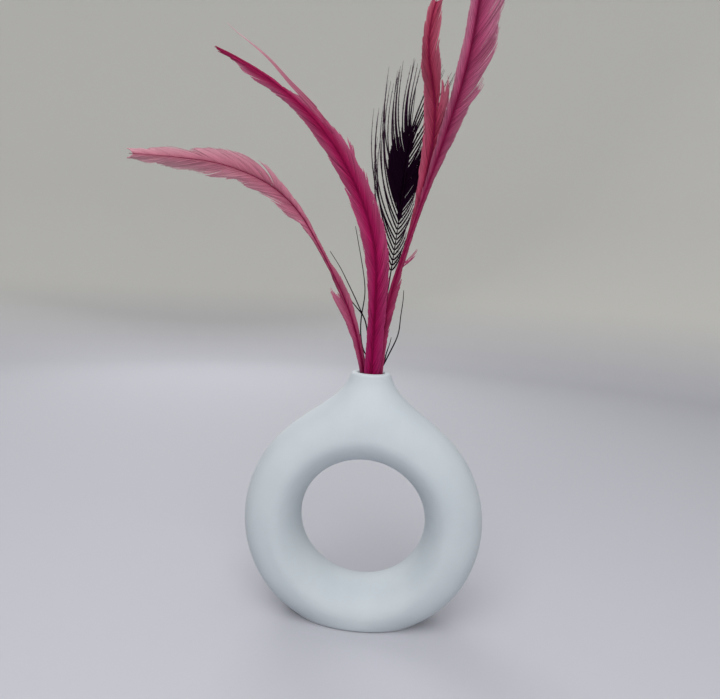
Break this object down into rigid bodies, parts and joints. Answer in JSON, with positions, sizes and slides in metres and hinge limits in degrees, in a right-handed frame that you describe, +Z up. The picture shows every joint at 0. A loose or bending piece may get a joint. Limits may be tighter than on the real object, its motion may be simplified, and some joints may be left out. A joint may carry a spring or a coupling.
{
  "type": "vase",
  "caption": "Ring-shaped matte ceramic vase with a round hole, sloping shoulders and a narrow neck; dyed feathers stand loose in its mouth and lift out.",
  "frame": {"origin": "centre of the flat foot, on the surface it stands on", "axes": "+Z up through the mouth, the ring's hole runs along Y, the front faces -Y"},
  "size_m": [0.281, 0.0558, 0.5012],
  "materials": {
    "ceramic": "matte",
    "magenta_barbs": "matte",
    "pink_barbs": "matte",
    "dark_barbs": "satin",
    "quill": "satin",
    "dark_quill": "satin"
  },
  "bodies": {
    "vase": {"vase_body": "ceramic"},
    "droop_feather": {"droop_shaft": "quill", "droop_vane_left": "pink_barbs", "droop_vane_right": "pink_barbs"},
    "front_feather": {"front_shaft": "quill", "front_vane_left": "magenta_barbs", "front_vane_right": "magenta_barbs"},
    "wave_feather": {"wave_shaft": "quill", "wave_vane_left": "magenta_barbs", "wave_vane_right": "magenta_barbs"},
    "tall_feather": {"tall_shaft": "quill", "tall_vane_left": "magenta_barbs", "tall_vane_right": "magenta_barbs"},
    "peacock_feather": {"peacock_shaft": "dark_quill", "peacock_fan_left": "dark_barbs", "peacock_fan_right": "dark_barbs", "peacock_herl_left": "dark_barbs", "peacock_herl_right": "dark_barbs"}
  },
  "joints": [
    {"name": "droop_lift", "type": "slide", "parent": "vase", "child": "droop_feather", "axis": [-0.2419, 0, 0.9703], "range_m": [0, 0.07]},
    {"name": "front_lift", "type": "slide", "parent": "vase", "child": "front_feather", "axis": [0.0087, 0.0009, 1], "range_m": [0, 0.07]},
    {"name": "wave_lift", "type": "slide", "parent": "vase", "child": "wave_feather", "axis": [0.1305, 0, 0.9914], "range_m": [0, 0.07]},
    {"name": "tall_lift", "type": "slide", "parent": "vase", "child": "tall_feather", "axis": [0.0609, -0.0043, 0.9981], "range_m": [0, 0.07]},
    {"name": "peacock_lift", "type": "slide", "parent": "vase", "child": "peacock_feather", "axis": [0.1219, 0, 0.9925], "range_m": [0, 0.07]}
  ]
}
